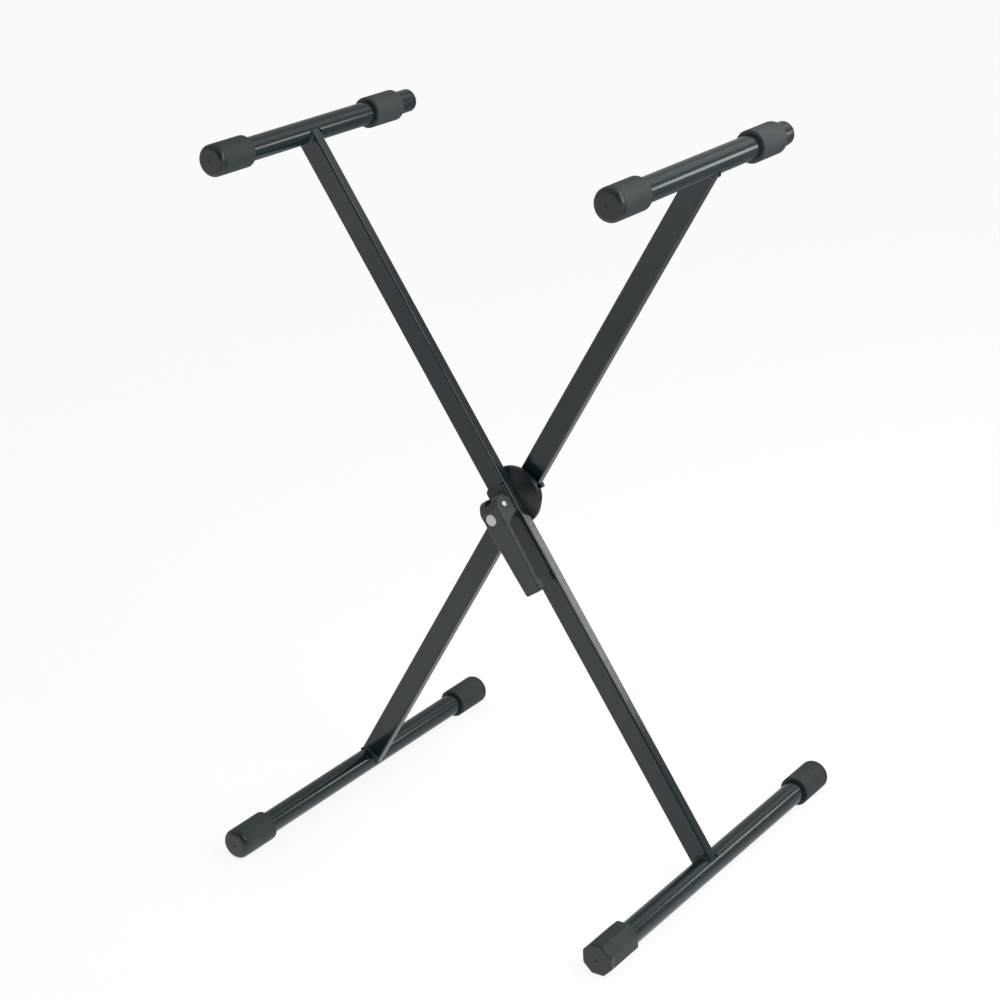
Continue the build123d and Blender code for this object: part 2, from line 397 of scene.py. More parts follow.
def across_at(y, z):
    """Turns a piece drawn along Y so that it lies across the leg at a place."""
    return Matrix.Translation((0, y, z)) @ Matrix.Rotation(math.pi / 2, 4, "Z")


def soften(made, width):
    """Rounds the edges that a boolean left sharp."""
    edge = made.modifiers.new("soften", "BEVEL")
    edge.width = width
    edge.segments = 3
    edge.limit_method = "ANGLE"
    edge.angle_limit = math.radians(40)
    edge.use_clamp_overlap = True
    bpy.context.view_layer.update()
    return bake(made)


def shade(made, angle):
    """Smooth shading, broken where faces meet at more than the angle."""
    data = made.data
    data.shade_smooth()
    data.set_sharp_from_angle(angle=math.radians(angle))


# ---------------------------------------------------------------- places

def node_middle(node):
    """Middle of a CAD node's box."""
    low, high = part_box(node)
    return (low + high) / 2


def bar_place(tube):
    """Bar frame: on the bar's axis, at the middle plane of the stand."""
    centre = node_middle(tube)
    return Matrix.Translation((centre.x, 0, centre.z)) @ Matrix.Scale(MM, 4)


def leg_place(floor_tube, arm_tube):
    """Leg frame: at the pivot, local Z up along the leg, local X across it."""
    foot = node_middle(floor_tube)
    top = node_middle(arm_tube)
    foot.y = 0
    top.y = 0
    along = (top - foot).normalized()
    across = Vector((0, 1, 0)).cross(along)
    turn = Matrix((across, Vector((0, 1, 0)), along)).transposed().to_4x4()
    return Matrix.Translation((foot + top) / 2) @ turn @ Matrix.Scale(MM, 4)


def half_leg():
    """Distance from the pivot to either bar's axis."""
    foot = node_middle("floor_tube_right")
    top = node_middle("arm_tube_left")
    return Vector((top.x - foot.x, 0, top.z - foot.z)).length / 2 / MM


bodies = {
    node: body
    for body, nodes in frame["record"]["behaviour"]["bodies"].items()
    for node in nodes
}
slots = {part["node"]: part["material_slot"] for part in frame["record"]["subparts"]}
front = leg_place("floor_tube_right", "arm_tube_left")
rear = leg_place("floor_tube_left", "arm_tube_right")
half_length = half_leg()


def stand_in(made, node, place, angle=32):
    """Puts a finished piece where its CAD node is and gives it that node's body and finish."""
    made.name = node + "_fine"
    made.data.name = made.name
    made.data.transform(place)
    shade(made, angle)
    made.data.materials.clear()
    made.data.materials.append(finishes[slots[node]])
    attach(made, bodies[node])
    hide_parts(node)
    return made


# ---------------------------------------------------------------- materials

def new_finish(name):
    """New material with its node tree and its shader."""
    material = bpy.data.materials.new(name)
    material.use_nodes = True
    tree = material.node_tree
    return material, tree, tree.nodes["Principled BSDF"]


def object_space(tree):
    """Position on the object, in metres."""
    return tree.nodes.new("ShaderNodeTexCoord").outputs["Object"]


def split_axes(tree, vector):
    """The X, Y and Z outputs of a vector."""
    split = tree.nodes.new("ShaderNodeSeparateXYZ")
    tree.links.new(vector, split.inputs["Vector"])
    return split.outputs


def noise_at(tree, size_mm, detail=2.0):
    """Noise whose features measure about size_mm, in object space."""
    noise = tree.nodes.new("ShaderNodeTexNoise")
    noise.inputs["Scale"].default_value = 1 / (size_mm * MM)
    noise.inputs["Detail"].default_value = detail
    tree.links.new(object_space(tree), noise.inputs["Vector"])
    return noise.outputs["Fac"]


def spread(tree, factor, low, high, from_low=0.3, from_high=0.7):
    """Maps a noise factor to a range of values."""
    node = tree.nodes.new("ShaderNodeMapRange")
    node.inputs["From Min"].default_value = from_low
    node.inputs["From Max"].default_value = from_high
    node.inputs["To Min"].default_value = low
    node.inputs["To Max"].default_value = high
    tree.links.new(factor, node.inputs["Value"])
    return node.outputs["Result"]


def tint(tree, factor, dark, light):
    """Colour between two tones by a factor."""
    mix = tree.nodes.new("ShaderNodeMix")
    mix.data_type = "RGBA"
    mix.inputs["A"].default_value = (*dark, 1)
    mix.inputs["B"].default_value = (*light, 1)
    tree.links.new(factor, mix.inputs["Factor"])
    return mix.outputs["Result"]


def bump(tree, shader, layers):
    """Chains height layers (factor, depth in mm) into the shader's normal."""
    normal = None
    for factor, depth in layers:
        node = tree.nodes.new("ShaderNodeBump")
        node.inputs["Distance"].default_value = depth * MM
        tree.links.new(factor, node.inputs["Height"])
        if normal:
            tree.links.new(normal, node.inputs["Normal"])
        normal = node.outputs["Normal"]
    tree.links.new(normal, shader.inputs["Normal"])


def grained(name, dark, light, rough, size_mm, depth_mm, metallic=0.0, fine=None):
    """A finish with slow colour drift, a surface grain and an optional finer grain (size, depth)."""
    blotch_mm = 24.0
    material, tree, shader = new_finish(name)
    drift = spread(tree, noise_at(tree, blotch_mm, 3.0), 0, 1)
    tree.links.new(tint(tree, drift, dark, light), shader.inputs["Base Color"])
    tree.links.new(spread(tree, noise_at(tree, blotch_mm / 3, 4.0), *rough), shader.inputs["Roughness"])
    shader.inputs["Metallic"].default_value = metallic
    layers = [(noise_at(tree, size_mm), depth_mm)]
    if fine:
        layers.append((noise_at(tree, fine[0], 3.0), fine[1]))
    bump(tree, shader, layers)
    return material


def arithmetic(tree, operation, first, second):
    """One maths node; either value may be a number or a socket."""
    node = tree.nodes.new("ShaderNodeMath")
    node.operation = operation
    for socket, value in zip(node.inputs, (first, second)):
        if isinstance(value, float):
            socket.default_value = value
        else:
            tree.links.new(value, socket)
    return node.outputs["Value"]


def polish_ends(material, dark, rough):
    """Makes the closed ends of the caps, beyond their seams, darker and smoother than their sides."""
    tree = material.node_tree
    shader = tree.nodes["Principled BSDF"]
    axes = split_axes(tree, object_space(tree))
    between_floor_and_arms = 0.5
    depth = arithmetic(tree, "ABSOLUTE", axes["Y"], 0.0)
    is_arm = arithmetic(tree, "GREATER_THAN", axes["Z"], between_floor_and_arms)
    floor_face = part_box("floor_cap_left_rear")[1].y
    arm_face = -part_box("arm_cap_left")[0].y
    seam = (seam_from_face + seam_width / 2) * MM
    shift = arithmetic(tree, "MULTIPLY", is_arm, arm_face - floor_face)
    limit = arithmetic(tree, "ADD", shift, floor_face - seam)
    mask = arithmetic(tree, "GREATER_THAN", depth, limit)
    for name, value in (("Base Color", (*dark, 1)), ("Roughness", rough)):
        socket = shader.inputs[name]
        mix = tree.nodes.new("ShaderNodeMix")
        mix.data_type = "RGBA" if name == "Base Color" else "FLOAT"
        inputs = [slot for slot in mix.inputs if slot.enabled and slot.name in "AB"]
        tree.links.new(socket.links[0].from_socket, inputs[0])
        inputs[1].default_value = value
        tree.links.new(mask, mix.inputs["Factor"])
        result = next(slot for slot in mix.outputs if slot.enabled)
        tree.links.new(result, socket)
    return material


def make_finishes():
    """One finish per material slot: two tones, roughness range, grain size and depth in mm."""
    cap_rubber = grained(
        "cap_rubber", (0.025, 0.037, 0.040), (0.034, 0.046, 0.049), (0.58, 0.70), 0.6, 0.02,
        fine=(0.25, 0.008),
    )
    return {
        "frame_paint": grained(
            "frame_paint", (0.0075, 0.019, 0.0245), (0.0105, 0.0235, 0.029), (0.12, 0.17), 2.2, 0.004,
            fine=(0.5, 0.0012),
        ),
        "cap_rubber": polish_ends(cap_rubber, (0.015, 0.024, 0.026), 0.34),
        "sleeve_rubber": grained(
            "sleeve_rubber", (0.041, 0.052, 0.056), (0.051, 0.063, 0.067), (0.58, 0.70), 0.6, 0.03,
            fine=(0.25, 0.01),
        ),
        "plug_plastic": grained(
            "plug_plastic", (0.008, 0.011, 0.013), (0.011, 0.014, 0.016), (0.10, 0.16), 3.0, 0.004,
        ),
        "hub_casting": grained(
            "hub_casting", (0.007, 0.012, 0.014), (0.011, 0.017, 0.020), (0.30, 0.38), 1.2, 0.012,
            fine=(0.35, 0.004),
        ),
        "friction_lining": grained(
            "friction_lining", (0.10, 0.06, 0.035), (0.18, 0.12, 0.08), (0.8, 0.95), 0.6, 0.08,
        ),
        "bearing_nylon": grained(
            "bearing_nylon", (0.70, 0.69, 0.64), (0.78, 0.77, 0.73), (0.35, 0.5), 0.8, 0.01,
        ),
        "plain_steel": grained(
            "plain_steel", (0.50, 0.50, 0.49), (0.60, 0.60, 0.59), (0.22, 0.32), 0.5, 0.004, metallic=1.0,
        ),
        "plated_steel": grained(
            "plated_steel", (0.55, 0.57, 0.59), (0.66, 0.67, 0.68), (0.22, 0.35), 0.6, 0.005, metallic=1.0,
        ),
        "saddle_plastic": grained(
            "saddle_plastic", (0.010, 0.015, 0.017), (0.014, 0.020, 0.022), (0.45, 0.55), 0.5, 0.015,
        ),
        "lever_plastic": grained(
            "lever_plastic", (0.026, 0.038, 0.041), (0.034, 0.047, 0.050), (0.32, 0.42), 0.6, 0.015,
            fine=(0.25, 0.005),
        ),
        "badge_metal": grained(
            "badge_metal", (0.60, 0.62, 0.63), (0.68, 0.70, 0.71), (0.28, 0.38), 0.3, 0.004, metallic=0.35,
        ),
    }


# ---------------------------------------------------------------- bars and their fittings

def fine_bar(node):
    """Tube with eased ends."""
    low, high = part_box(node)
    radius = (high.x - low.x) / 2 / MM
    y0, y1 = low.y / MM, high.y / MM
    bore = radius - bar_wall
    outline = fillet_corners([
        (bore, y0, bar_lip), (radius, y0, bar_lip), (radius, y1, bar_lip), (bore, y1, bar_lip),
    ], 3)
    stand_in(as_object(lathe(hold(outline, 0.5)), node), node, bar_place(node))


def cap_outline(face, length, radius):
    """Closed cap seen in section, from the middle of its face round to the inside of its end wall."""
    rim = face - length
    groove_near = face - seam_from_face
    groove_far = groove_near - seam_width
    floor_radius = radius - seam_depth
    inside = face - cap_end_wall
    outer = fillet_corners([
        (0, face - gate_depth, 0),
        (gate_radius, face - gate_depth, 0.3),
        (gate_radius, face, 0.35),
        (radius, face, cap_edge),
        (radius, groove_near, 0.35),
        (floor_radius, groove_near, 0.3),
        (floor_radius, groove_far, 0.3),
        (radius, groove_far, 0.35),
        (radius, rim, cap_rim_radius),
        (cap_bore, rim, 0.4),
        (cap_bore, inside, 0.6),
        (0, inside, 0),
    ])
    return hold(outer, 0.3, closed=False)


def fine_cap(node, tube):
    """Push-on cap, turned to face the way its CAD node does."""
    low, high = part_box(node)
    facing = 1 if high.y > -low.y else -1
    face = max(high.y, -low.y) / MM
    radius = (high.x - low.x) / 2 / MM
    made = as_object(lathe(cap_outline(face, (high.y - low.y) / MM, radius), False), node)
    if facing < 0:
        made.data.transform(Matrix.Rotation(math.pi, 4, "Z"))
    stand_in(made, node, bar_place(tube))


def fine_sleeve(node, tube):
    """Open rubber sleeve with eased rims."""
    low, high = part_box(node)
    radius = (high.x - low.x) / 2 / MM
    y0, y1 = low.y / MM, high.y / MM
    outline = fillet_corners([
        (sleeve_bore, y0, bore_edge), (radius, y0, sleeve_edge),
        (radius, y1, sleeve_edge), (sleeve_bore, y1, bore_edge),
    ])
    stand_in(as_object(lathe(hold(outline, 0.3)), node), node, bar_place(tube))


def fine_plug(node, tube):
    """Plug with a rounded head and a spigot inside the tube."""
    low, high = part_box(node)
    radius = (high.x - low.x) / 2 / MM
    face = high.y / MM
    shoulder = face - plug_head
    outline = fillet_corners([
        (0, low.y / MM, 0), (plug_spigot_radius, low.y / MM, 0.8), (plug_spigot_radius, shoulder, 0),
        (radius, shoulder, 0.4), (radius, face, plug_edge), (0, face, 0),
    ])
    stand_in(as_object(lathe(hold(outline, 0.3, False), False), node), node, bar_place(tube))


def octagon_loop(apothem, corner, y, offset):
    """Rounded eight-sided loop with as many points as a round one."""
    loop = []
    per_corner = ROUND_STEPS // leveller_sides
    reach = (apothem - corner) / math.cos(TURN / leveller_sides / 2)
    for side in range(leveller_sides):
        angle = TURN * (side + 0.5) / leveller_sides
        centre = Vector((reach * math.cos(angle), 0, reach * math.sin(angle)))
        for step in range(per_corner):
            turn = angle + (step / (per_corner - 1) - 0.5) * TURN / leveller_sides
            point = centre + Vector((corner * math.cos(turn), 0, corner * math.sin(turn)))
            loop.append(point + Vector((offset, y, 0)))
    return loop


def leveller_end(start, inward):
    """Octagons from one end face round its edge and onto the sides."""
    steps = 6
    gap = 0.3
    off = -leveller_offset
    face_apothem = leveller_apothem - leveller_corner - gap
    loops = [octagon_loop(face_apothem, leveller_long_corner, start, off)]
    for step in range(steps + 1):
        turn = math.pi / 2 * step / steps
        inset = leveller_corner * (1 - math.sin(turn))
        y = start + inward * leveller_corner * (1 - math.cos(turn))
        loops.append(octagon_loop(leveller_apothem - inset, leveller_long_corner, y, off))
    side_y = start + inward * (leveller_corner + gap)
    loops.append(octagon_loop(leveller_apothem, leveller_long_corner, side_y, off))
    return loops


def leveller_loops(face, length):
    """Loops from the gate mark out over the octagon and back down the round bore."""
    rim = face + length
    inside = face + cap_end_wall
    gate_floor = face + gate_depth
    off = -leveller_offset
    gate = fillet_corners([
        (0, gate_floor, 0), (gate_radius, gate_floor, 0.3),
        (gate_radius, face, 0.35), (gate_radius + 1, face, 0),
    ])
    bore = hold(fillet_corners([
        (cap_bore + 1.0, rim, 0), (cap_bore, rim, bore_edge), (cap_bore, inside, 0.6), (0, inside, 0),
    ]), 0.3, False)
    loops = [ring_loop(0, gate_floor, x=off)]
    loops += [ring_loop(radius, y, x=off) for radius, y in gate[1:]]
    loops += leveller_end(face, 1)
    loops += leveller_end(rim, -1)[::-1]
    loops += [ring_loop(radius, y) for radius, y in bore]
    return loops


def fine_leveller(node, tube):
    """Off-centre eight-sided cap."""
    low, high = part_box(node)
    made = as_object(skin(leveller_loops(low.y / MM, (high.y - low.y) / MM)), node)
    stand_in(made, node, bar_place(tube))


# ---------------------------------------------------------------- legs and welds

def rounded_section(width, depth, corner):
    """Points of a rounded rectangle, with extra points along its long sides."""
    columns = 20
    corners = [
        (width / 2, -depth / 2, corner), (width / 2, depth / 2, corner),
        (-width / 2, depth / 2, corner), (-width / 2, -depth / 2, corner),
    ]
    points = hold(fillet_corners(corners), 0.3)
    dense = []
    for index, start in enumerate(points):
        run = points[(index + 1) % len(points)] - start
        parts = columns if abs(run.x) > width / 2 else 1
        dense += [start + run * part / parts for part in range(parts)]
    return dense


def cope_height(x):
    """Distance from the pivot to the leg's end at x: it follows the bar, and stops short at the horns."""
    sag = math.sqrt(max(bar_contact ** 2 - min(abs(x), bar_contact) ** 2, 0))
    return half_length - max(sag, horn_setback)


def leg_loops(y_centre, width, depth, corner, stations):
    """One loop per station (end, height from the pivot); no height means the notched end itself."""
    section = rounded_section(width, depth, corner)
    loops = []
    for sign, height in stations:
        loop = []
        for x, y in section:
            z = sign * (cope_height(x) if height is None else height)
            loop.append(Vector((x, y + y_centre, z)))
        loops.append(loop)
    return loops


def fine_leg(node, place, y_centre, hole):
    """Rectangular tube, notched over the bars and drilled for the pivot."""
    near = half_length - flat_from_end
    stations = [
        (-1, None), (-1, near), (-1, flat_from_pivot), (1, flat_from_pivot), (1, near), (1, None),
    ]
    outer = leg_loops(y_centre, leg_width, leg_depth, leg_corner, stations)
    inner = leg_loops(
        y_centre, leg_width - 2 * leg_wall, leg_depth - 2 * leg_wall, leg_corner / 2, stations[::-1]
    )
    made = as_object(skin(outer + inner, closed=True), node)
    combine(made, "DIFFERENCE", rod(hole, y_centre - leg_depth, y_centre + leg_depth))
    stand_in(made, node, place)


def bead_mesh(path, size_at):
    """Convex fillet bead along a path of (point, outward along leg face, outward from leg face)."""
    steps = 7
    loops = []
    for index, (point, along_face, off_face) in enumerate(path):
        loop = []
        for step in range(steps):
            turn = math.pi / 2 * step / (steps - 1)
            reach = size_at(index, turn)
            loop.append(point + (along_face * math.cos(turn) + off_face * math.sin(turn)) * reach)
        loop.append(point - (along_face + off_face) * weld_root)
        loops.append(loop)
    return tipped_skin(loops)


def fillet_bead(face_y, outward, end):
    """Bead round the bar where one wide face of the leg meets it."""
    sweep = math.radians(weld_half_sweep)
    count = 120
    sign = math.copysign(1, end)
    path = []
    for index in range(count + 1):
        turn = sweep * (2 * index / count - 1)
        radial = Vector((math.sin(turn), 0, -sign * math.cos(turn)))
        path.append((radial * bar_contact + Vector((0, face_y, end)), radial, Vector((0, outward, 0))))
    length = 2 * sweep * bar_contact

    def size_at(index, turn):
        """Reach of the bead: rippled, slowly wandering, tapered at its ends and hollow in the middle."""
        share = index / count
        hollow = math.sin(2 * turn)
        ripple = math.sin(TURN * (share * length / weld_pitch + 0.35 * hollow))
        wander = math.sin(TURN * (share * 2.3 + end * 0.01 + face_y * 0.07))
        taper = min(1, 12 * share + 0.35, 12 * (1 - share) + 0.35)
        return weld_size * taper * (1 - 0.2 * hollow) * (1 + weld_ripple * ripple + 0.06 * wander)

    return bead_mesh(path, size_at)


def horn_bead(side, y_centre, end):
    """Short bead where the leg's narrow face runs out along the bar."""
    count = 40
    steps = 16
    middle_x = side * (bar_contact - weld_horn_sink)
    middle_z = end - math.copysign(weld_horn_inward, end)
    loops = []
    for index in range(count + 1):
        share = index / count
        y = y_centre + weld_horn_half_length * (2 * share - 1)
        dome = math.sqrt(max(1 - (2 * share - 1) ** 4, 0.02))
        ripple = math.sin(TURN * share * 2 * weld_horn_half_length / weld_pitch)
        reach = weld_horn_radius * dome * (1 + 0.08 * ripple)
        loop = []
        for step in range(steps):
            turn = TURN * step / steps
            z = middle_z + reach * weld_horn_height * math.sin(turn)
            loop.append(Vector((middle_x + reach * math.cos(turn), y, z)))
        loops.append(loop)
    return tipped_skin(loops)


def fine_welds(node, place, y_centre):
    """All beads of one leg."""
    joined = bmesh.new()
    for end in (-half_length, half_length):
        for outward in (-1, 1):
            append(joined, fillet_bead(y_centre + outward * leg_depth / 2, outward, end))
        for side in (-1, 1):
            append(joined, horn_bead(side, y_centre, end))
    stand_in(as_object(joined, node), node, place, angle=60)


# ---------------------------------------------------------------- pivot

def fine_front_hub(node):
    """Domed clutch half with the channel that cradles the front leg."""
    rise = hub_rim - hub_apex
    dome_radius = (hub_radius ** 2 + rise ** 2) / (2 * rise)
    sweep = math.asin(hub_radius / dome_radius)
    outline = []
    count = 40
    for index in range(count):
        turn = sweep * index / count
        outline.append(Vector((
            dome_radius * math.sin(turn), hub_apex + dome_radius * (1 - math.cos(turn))
        )))
    outline += fillet_corners([
        tuple(outline[-1]) + (0,), (hub_radius, hub_rim, 1.0), (hub_radius, hub_split, 0.5),
        (hub_recess_radius, hub_split, 0.4), (hub_recess_radius, hub_recess_floor, 0),
        (0, hub_recess_floor, 0),
    ])[1:]
    made = as_object(lathe(outline, False, HUB_STEPS), node)
    half = channel_width / 2
    channel = block(-half, half, -cut_reach, hub_channel_floor, -cut_length, cut_length)
    combine(made, "DIFFERENCE", channel, rod(bolt_clearance, -cut_reach, cut_reach))
    soften(made, hub_soft_edge)
    stand_in(made, node, front)


def fine_rear_hub(node):
    """Clutch half on the rear leg, with the index lug on its rim."""
    outline = fillet_corners([
        (0, rear_hub_front, 0), (rear_hub_radius, rear_hub_front, 0.4),
        (rear_hub_radius, rear_hub_back, 2.5), (0, rear_hub_back, 0),
    ])
    made = as_object(lathe(outline, False, HUB_STEPS), node)
    side = lug_width / 2
    lug = block(lug_reach - lug_length, lug_reach, lug_middle - side, lug_middle + side, -side, side)
    lug.data.transform(Matrix.Rotation(-math.radians(lug_angle), 4, "Y"))
    combine(made, "UNION", lug)
    half = channel_width / 2
    channel = block(-half, half, rear_channel_floor, cut_reach, -cut_length, cut_length)
    combine(made, "DIFFERENCE", channel, rod(bushing_hole, -cut_reach, cut_reach))
    soften(made, rear_soft_edge)
    stand_in(made, node, rear)


def thread_radius(turn, y):
    """Rolled thread on the rear end of the bolt."""
    if y < thread_start:
        return bolt_radius
    phase = (y / thread_pitch - turn / TURN) % 1.0
    ridge = abs(2 * phase - 1)
    fade = min(1, (y - thread_start) / thread_pitch)
    return bolt_radius - thread_depth * fade * (1 - ridge)


def fine_bolt(node):
    """Eye bolt with a rolled thread and a chamfered end."""
    start = pin_y + eye_radius - eye_overlap
    loops = [[Vector((0, start, 0))], ring_loop(bolt_radius, start)]
    count = 150
    for index in range(count + 1):
        y = thread_start - 1 + (bolt_end - thread_start + 1) * index / count
        taper = bolt_radius - bolt_chamfer + (bolt_end - y)
        loops.append(shaped_loop(lambda turn: min(thread_radius(turn, y), taper), y))
    loops.append([Vector((0, bolt_end, 0))])
    made = as_object(skin(loops), node)
    eye = as_object(lathe(fillet_corners([
        (eye_bore, -eye_width / 2, 0.5), (eye_radius, -eye_width / 2, 0.8),
        (eye_radius, eye_width / 2, 0.8), (eye_bore, eye_width / 2, 0.5),
    ], 4)), "eye")
    eye.data.transform(across_at(pin_y, pin_z))
    combine(made, "UNION", eye)
    stand_in(made, node, front)


def fine_washer(node):
    """Flat washer with eased edges."""
    outline = fillet_corners([
        (bolt_clearance, washer_front, 0.2), (washer_radius, washer_front, 0.35),
        (washer_radius, washer_rear, 0.35), (bolt_clearance, washer_rear, 0.2),
    ], 4)
    stand_in(as_object(lathe(hold(outline, 0.2)), node), node, front)


def fine_spring(node):
    """Shallow conical washer."""
    outline = fillet_corners([
        (bolt_clearance, washer_rear + spring_lift, 0.15), (spring_radius, washer_rear, 0.2),
        (spring_radius, spring_rear - spring_lift, 0.2), (bolt_clearance, spring_rear, 0.15),
    ], 4)
    stand_in(as_object(lathe(hold(outline, 0.2)), node), node, front)


def hexagon_reach(turn):
    """Distance from the axis to the nut's hexagon, its corners trimmed a little."""
    local = (turn + TURN / 12) % (TURN / 6) - TURN / 12
    return nut_flats / 2 * min(1 / math.cos(local), nut_corner_trim)


def fine_nut(node):
    """Hexagon with turned chamfers and a rolled locking collar."""
    body_top = nut_rear - nut_collar_height
    slope = math.tan(math.radians(nut_chamfer_angle))
    bunching = 0.02
    heights = [spring_rear + bunching * k * k for k in range(8)]
    heights += [body_top - bunching * k * k for k in range(7, -1, -1)]
    loops = []
    for y in heights:
        cone = nut_flats / 2 * nut_cone_start + min(y - spring_rear, body_top - y) / slope
        loops.append(shaped_loop(lambda turn: min(hexagon_reach(turn), cone), y, NUT_STEPS))
    collar = nut_flats / 2 - nut_collar_step
    thread = bolt_radius + fit_gap
    for radius, y in fillet_corners([
        (collar + 0.3, body_top, 0), (collar, body_top, 0.3), (collar, nut_rear, 0.9),
        (thread + 0.4, nut_rear, 0.3), (thread, nut_rear - 0.6, 0), (thread, spring_rear + 0.5, 0),
        (thread + 0.5, spring_rear, 0),
    ], 5):
        loops.append(ring_loop(radius, y, NUT_STEPS))
    stand_in(as_object(skin(loops, closed=True), node), node, front)


def fine_saddle(node):
    """Pad between the cam and the front leg, with rounded corners."""
    side = saddle_width / 2
    top = saddle_height / 2
    made = block(-side, side, saddle_front, saddle_rear, -top, top)
    mesh = bmesh.new()
    mesh.from_mesh(made.data)
    corners = [edge for edge in mesh.edges if edge.verts[0].co.y != edge.verts[1].co.y]
    bmesh.ops.bevel(mesh, geom=corners, offset=saddle_corner, segments=10, profile=0.5, affect="EDGES")
    mesh.to_mesh(made.data)
    mesh.free()
    combine(made, "DIFFERENCE", rod(bolt_clearance, -cut_length, 0))
    soften(made, saddle_soft_edge)
    stand_in(made, node, front)


def fine_pin(node):
    """Cross pin with domed ends."""
    outline = fillet_corners([
        (0, -pin_half_length, 0), (pin_radius, -pin_half_length, 0.8),
        (pin_radius, pin_half_length, 0.8), (0, pin_half_length, 0),
    ])
    made = as_object(lathe(hold(outline, 0.3, False), False), node)
    made.data.transform(across_at(pin_y, pin_z))
    stand_in(made, node, front)


# ---------------------------------------------------------------- cam lever

def blade_half_width(z):
    """Half the handle's width at height z."""
    if z > handle_shoulder:
        half = cam_half_width
    else:
        share = (handle_shoulder - z) / (handle_length + handle_shoulder)
        half = cam_half_width + (handle_tip_width / 2 - cam_half_width) * share
    low = z + handle_length
    if low < tip_corner:
        half -= tip_corner - math.sqrt(tip_corner ** 2 - (tip_corner - low) ** 2)
    return half


def eased(share):
    """Smooth step from 0 to 1."""
    share = max(0.0, min(1.0, share))
    return share * share * (3 - 2 * share)


def blade_back(z):
    """Back of the handle at height z: flat heel under the cam, throat, thin blade, pad behind the tip."""
    thin = handle_face + handle_thickness
    if z > heel_z:
        return heel_y
    if z > throat_z:
        return heel_y + (throat_y - heel_y) * (heel_z - z) / (heel_z - throat_z)
    if z > handle_shoulder:
        share = (throat_z - z) / (throat_z - handle_shoulder)
        return throat_y + (thin - throat_y) * math.sin(share * math.pi / 2)
    pad_top = tip_pad_height + tip_pad_thickness - handle_length
    swell = eased((pad_top - z) / tip_pad_thickness)
    round_off = eased(1 - (z + handle_length) / tip_pad_thickness)
    return thin + tip_pad_thickness * (swell - round_off / 2)


def handle_mesh():
    """Blade from the cam down to the tip, its section following its width and back."""
    count = 150
    loops = []
    for index in range(count + 1):
        z = pin_z - (handle_length + pin_z) * index / count
        half = blade_half_width(z)
        loops.append([Vector((x, y, z)) for x, y in fillet_corners([
            (half, handle_face, 1.8), (half, blade_back(z), 1.4),
            (-half, blade_back(z), 1.4), (-half, handle_face, 1.8),
        ], 5)])
    return tipped_skin(loops)


def cam_barrel(radius, y, z):
    """Barrel along local X with rounded rims."""
    mesh = lathe(fillet_corners([
        (0, -cam_half_width, 0), (radius, -cam_half_width, 1.2),
        (radius, cam_half_width, 1.2), (0, cam_half_width, 0),
    ]), False)
    mesh.transform(across_at(y, z))
    return mesh


def melt(made, grain):
    """Rebuilds a piece as one even skin, which joins overlapping shells and rounds sharp cuts a little."""
    change = made.modifiers.new("melt", "REMESH")
    change.mode = "VOXEL"
    change.voxel_size = grain
    bpy.context.view_layer.update()
    return bake(made)


def fork_slot():
    """Cutter that opens the fork round the bolt's eye."""
    return block(
        -fork_half_gap, fork_half_gap, handle_face + fork_front_wall, pin_y + fork_reach,
        pin_z - fork_drop, fork_reach,
    )


def fine_lever(node):
    """Cam and handle moulded in one piece."""
    joined = handle_mesh()
    append(joined, cam_barrel(cam_radius, pin_y + cam_throw, pin_z))
    append(joined, cam_barrel(lobe_radius, handle_face + lobe_radius, lobe_z))
    made = melt(as_object(joined, node), join_grain)
    badge_hole = rod(badge_radius + badge_gap, handle_face - cut_margin, handle_face + badge_pocket)
    badge_hole.data.transform(Matrix.Translation((badge_x, 0, badge_z)))
    pin_reach = cam_half_width + cut_margin
    pin_hole = rod(pin_radius + fit_gap, -pin_reach, pin_reach)
    pin_hole.data.transform(across_at(pin_y, pin_z))
    combine(made, "DIFFERENCE", fork_slot(), pin_hole, badge_hole)
    melt(made, skin_grain)
    ease = made.modifiers.new("ease", "SMOOTH")
    ease.factor = 0.5
    ease.iterations = 6
    bpy.context.view_layer.update()
    bake(made)
    stand_in(made, node, front, angle=80)


def fine_badge(node):
    """Plain inlay with a slightly crowned face."""
    face = handle_face + badge_pocket - badge_thickness
    back = handle_face + badge_pocket
    outline = [(0, back), (badge_radius, back), (badge_radius, face + 2 * badge_crown)]
    count = 12
    for index in range(count + 1):
        radius = (badge_radius - badge_crown) * (1 - index / count)
        outline.append((radius, face + badge_crown * (radius / badge_radius) ** 2))
    made = as_object(lathe(outline, False), node)
    made.data.transform(Matrix.Translation((badge_x, 0, badge_z)))
    stand_in(made, node, front)


# ---------------------------------------------------------------- studio

def emitter(name, size, height, radiance, location, aim):
    """Soft box whose brightness is given as seen, whatever its size."""
    data = bpy.data.lights.new(name, "AREA")
    data.shape = "RECTANGLE"
    data.size = size
    data.size_y = height
    data.energy = radiance * math.pi * size * height
    light = bpy.data.objects.new(name, data)
    light.location = location
    light.rotation_mode = "QUATERNION"
    light.rotation_quaternion = (Vector(aim) - Vector(location)).to_track_quat("-Z", "Y")
    bpy.context.scene.collection.objects.link(light)


def seen_white(tree, other, white):
    """Directly seen it is plain white; in reflections and as light it is the other shader."""
    path = tree.nodes.new("ShaderNodeLightPath")
    mix = tree.nodes.new("ShaderNodeMixShader")
    tree.links.new(path.outputs["Is Camera Ray"], mix.inputs["Fac"])
    tree.links.new(other, mix.inputs[1])
    tree.links.new(white, mix.inputs[2])
    return mix.outputs["Shader"]


